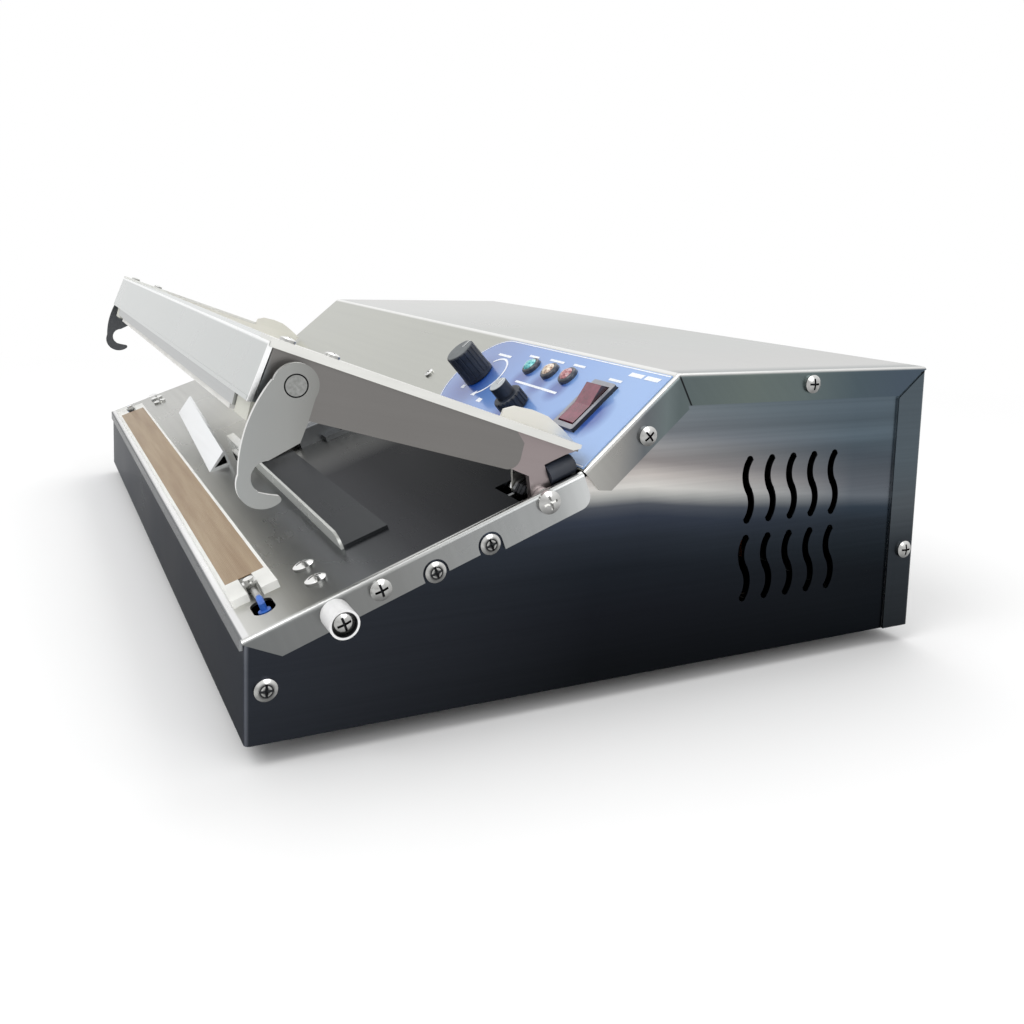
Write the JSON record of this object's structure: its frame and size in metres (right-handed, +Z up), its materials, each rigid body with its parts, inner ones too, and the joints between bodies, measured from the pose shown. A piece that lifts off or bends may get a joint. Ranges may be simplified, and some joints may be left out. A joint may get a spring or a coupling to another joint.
{
  "type": "nozzle vacuum sealer",
  "caption": "Table-top nozzle vacuum sealer: sloping stainless case, sprung press arm with catch hooks, heated seal bar, bag stops, knobs, pilot lamps and a rocker switch.",
  "frame": {"origin": "centre of the whole machine's bounding box in X and Y, on the table under the rubber feet", "axes": "+Z up, +X to the operator's right along the seal bar, +Y from the operator to the rear"},
  "size_m": [0.524, 0.3128, 0.1467],
  "materials": {
    "stainless_sheet": "brushed stainless sheet",
    "plated_steel": "zinc plated steel",
    "bright_screws": "nickel plated screws",
    "spring_steel": "spring wire",
    "heating_alloy": "flat resistance band",
    "black_rubber": "moulded rubber",
    "white_insulator": "white insulating board",
    "release_tape": "brown coated glass cloth",
    "silicone": "silicone strip",
    "clear_hose": "silicone hose",
    "bearing_plastic": "bearing plastic",
    "blue_overlay": "printed polyester film",
    "blue_sleeve": "insulated lead",
    "black_plastic": "moulded plastic",
    "red_rocker": "clear red plastic",
    "green_lens": "clear green plastic",
    "amber_lens": "clear amber plastic",
    "red_lens": "clear red plastic",
    "control_metal": "pressed steel",
    "copper_winding": "taped copper winding",
    "cast_alloy": "cast aluminium",
    "motor_steel": "painted motor shell",
    "circuit_board": "circuit board",
    "brass": "turned brass"
  },
  "bodies": {
    "case": {"base_tub": "stainless_sheet", "work_plate": "stainless_sheet", "control_cover": "stainless_sheet", "rear_cover": "stainless_sheet", "control_overlay": "blue_overlay", "rubber_feet": "black_rubber", "case_screws": "bright_screws", "plate_screws": "bright_screws", "small_screws": "bright_screws", "seal_bar": "white_insulator", "heating_band": "heating_alloy", "seal_tape": "release_tape", "band_terminals": "bright_screws", "band_springs": "spring_steel", "band_leads": "blue_sleeve", "bag_stop_left": "stainless_sheet", "bag_stop_right": "stainless_sheet", "catch_bushes": "white_insulator", "catch_screws": "bright_screws", "pivot_bolts": "bright_screws", "pivot_brackets": "plated_steel", "stop_buffers": "black_rubber", "lift_springs": "spring_steel", "lamp_green": "green_lens", "lamp_amber": "amber_lens", "lamp_red": "red_lens", "lamp_bezels": "black_plastic", "switch_housing": "black_plastic", "potentiometers": "control_metal", "power_inlet": "black_plastic", "transformer_core": "plated_steel", "transformer_winding": "copper_winding", "vacuum_pump": "cast_alloy", "pump_motor": "motor_steel", "solenoid_valve": "control_metal", "timer_board": "circuit_board", "board_standoffs": "brass", "vacuum_hose": "clear_hose", "nozzle_guide": "plated_steel", "nozzle_saddle": "plated_steel"},
    "press_arm": {"press_beam": "stainless_sheet", "beam_end_plates": "plated_steel", "arm_channel_left": "stainless_sheet", "arm_channel_right": "stainless_sheet", "pivot_lugs": "stainless_sheet", "arm_top_straps": "stainless_sheet", "arm_screws": "bright_screws", "shaft_bushes": "bearing_plastic", "press_holder": "stainless_sheet", "press_strip": "silicone", "press_end_blocks": "white_insulator"},
    "latch": {"latch_shaft": "plated_steel", "hook_left": "stainless_sheet", "hook_right": "stainless_sheet"},
    "nozzle": {"nozzle_tube": "plated_steel"},
    "timer": {"timer_knob": "black_plastic", "timer_shaft": "plated_steel"},
    "heat_control": {"heat_knob": "black_plastic", "heat_shaft": "plated_steel"},
    "power_rocker": {"rocker": "red_rocker"}
  },
  "joints": [
    {"name": "arm_lift", "type": "hinge", "parent": "case", "child": "press_arm", "pos_m": [0, -0.04175, 0.0837], "axis": [1, 0, 0], "range_deg": [0, 34], "stiffness_Nm_per_rad": 1.5, "springref_deg": -57.3},
    {"name": "latch_swing", "type": "hinge", "parent": "press_arm", "child": "latch", "pos_m": [0, -0.13743, 0.13131], "axis": [1, 0, 0], "range_deg": [-12, 36.16]},
    {"name": "nozzle_slide", "type": "slide", "parent": "case", "child": "nozzle", "axis": [0, -0.9345, -0.356], "range_m": [0, 0.018]},
    {"name": "timer_turn", "type": "hinge", "parent": "case", "child": "timer", "pos_m": [0.0982, -0.00625, 0.11211], "axis": [0, -0.661, 0.7504], "range_deg": [-150, 150]},
    {"name": "heat_turn", "type": "hinge", "parent": "case", "child": "heat_control", "pos_m": [0.16, -0.01405, 0.10524], "axis": [0, -0.661, 0.7504], "range_deg": [-150, 150]},
    {"name": "rocker_tilt", "type": "hinge", "parent": "case", "child": "power_rocker", "pos_m": [0.2116, -0.00498, 0.11189], "axis": [1, 0, 0], "range_deg": [-16, 0]}
  ]
}
